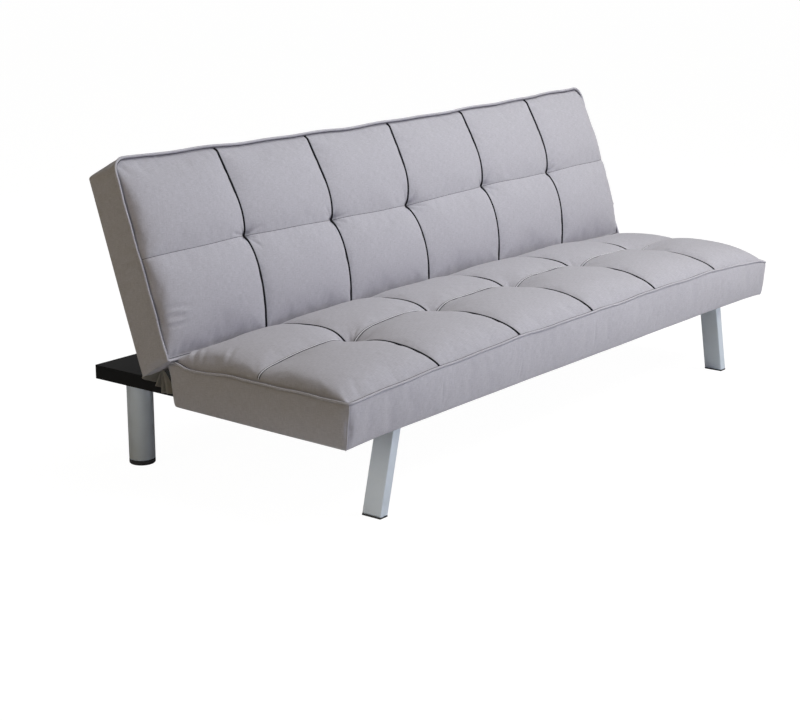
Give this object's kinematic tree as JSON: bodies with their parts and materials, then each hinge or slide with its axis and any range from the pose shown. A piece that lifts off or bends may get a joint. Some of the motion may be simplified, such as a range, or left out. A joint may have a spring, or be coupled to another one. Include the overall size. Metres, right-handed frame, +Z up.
{
  "type": "click clack sofa bed",
  "caption": "Armless sofa bed with a tufted seat, a tufted back that folds flat on ratchet hinges, leaning front legs and round rear legs.",
  "frame": {"origin": "on the floor, under the middle of the box round the upright sofa", "axes": "+X to the right of a person who faces the seat, +Y from the seat's front to the rear, +Z up"},
  "size_m": [1.84, 0.796, 0.7187],
  "materials": {
    "cloth": "woven upholstery cloth, light grey with a slight violet cast",
    "black_cloth": "thin black non-woven lining cloth",
    "webbing": "woven elastic webbing",
    "foam": "open-cell upholstery foam",
    "felt": "pressed felt",
    "timber": "planed softwood, unfinished",
    "leg_paint": "silver-grey powder coat",
    "zinc": "bright zinc-plated steel",
    "black_plastic": "moulded black plastic"
  },
  "bodies": {
    "base": {"front_left_foot": "black_plastic", "front_left_leg": "leg_paint", "front_left_leg_inner_screw": "zinc", "front_left_leg_outer_screw": "zinc", "front_right_foot": "black_plastic", "front_right_leg": "leg_paint", "front_right_leg_inner_screw": "zinc", "front_right_leg_outer_screw": "zinc", "left_frame_bolt": "zinc", "left_pawl_pin": "zinc", "left_pawl_spring": "zinc", "left_pivot_bolt": "zinc", "left_seat_arm": "zinc", "rear_left_foot": "black_plastic", "rear_left_leg": "leg_paint", "rear_left_leg_bolt": "zinc", "rear_right_foot": "black_plastic", "rear_right_leg": "leg_paint", "rear_right_leg_bolt": "zinc", "right_frame_bolt": "zinc", "right_pawl_pin": "zinc", "right_pawl_spring": "zinc", "right_pivot_bolt": "zinc", "right_seat_arm": "zinc", "seat_cover": "cloth", "seat_dust_cover": "black_cloth", "seat_felt_pad": "felt", "seat_foam": "foam", "seat_front_rail": "timber", "seat_front_spring_strip": "zinc", "seat_left_rail": "timber", "seat_leg_board": "timber", "seat_mid_rail": "timber", "seat_piping": "cloth", "seat_rear_rail": "timber", "seat_rear_spring_strip": "zinc", "seat_right_rail": "timber", "seat_springs": "zinc", "support_cross_rail": "black_cloth", "support_deck": "black_cloth", "support_left_runner": "black_cloth", "support_rear_rail": "black_cloth", "support_right_runner": "black_cloth"},
    "back": {"back_bottom_rail": "timber", "back_cover": "cloth", "back_foam": "foam", "back_left_rail": "timber", "back_left_stile": "timber", "back_piping": "cloth", "back_rear_panel": "cloth", "back_right_rail": "timber", "back_right_stile": "timber", "back_top_rail": "timber", "back_webbing": "webbing", "left_back_arm": "zinc", "right_back_arm": "zinc"},
    "left_pawl": {"left_pawl": "zinc"},
    "right_pawl": {"right_pawl": "zinc"}
  },
  "joints": [
    {"name": "back_fold", "type": "hinge", "parent": "base", "child": "back", "pos_m": [0, 0.123, 0.274], "axis": [1, 0, 0], "range_deg": [-71.2, 6]},
    {"name": "left_pawl_turn", "type": "hinge", "parent": "base", "child": "left_pawl", "pos_m": [-0.8629, 0.08129, 0.26173], "axis": [1, 0, 0], "range_deg": [0, 7.4]},
    {"name": "right_pawl_turn", "type": "hinge", "parent": "base", "child": "right_pawl", "pos_m": [0.8629, 0.08129, 0.26173], "axis": [1, 0, 0], "range_deg": [0, 7.4]}
  ]
}
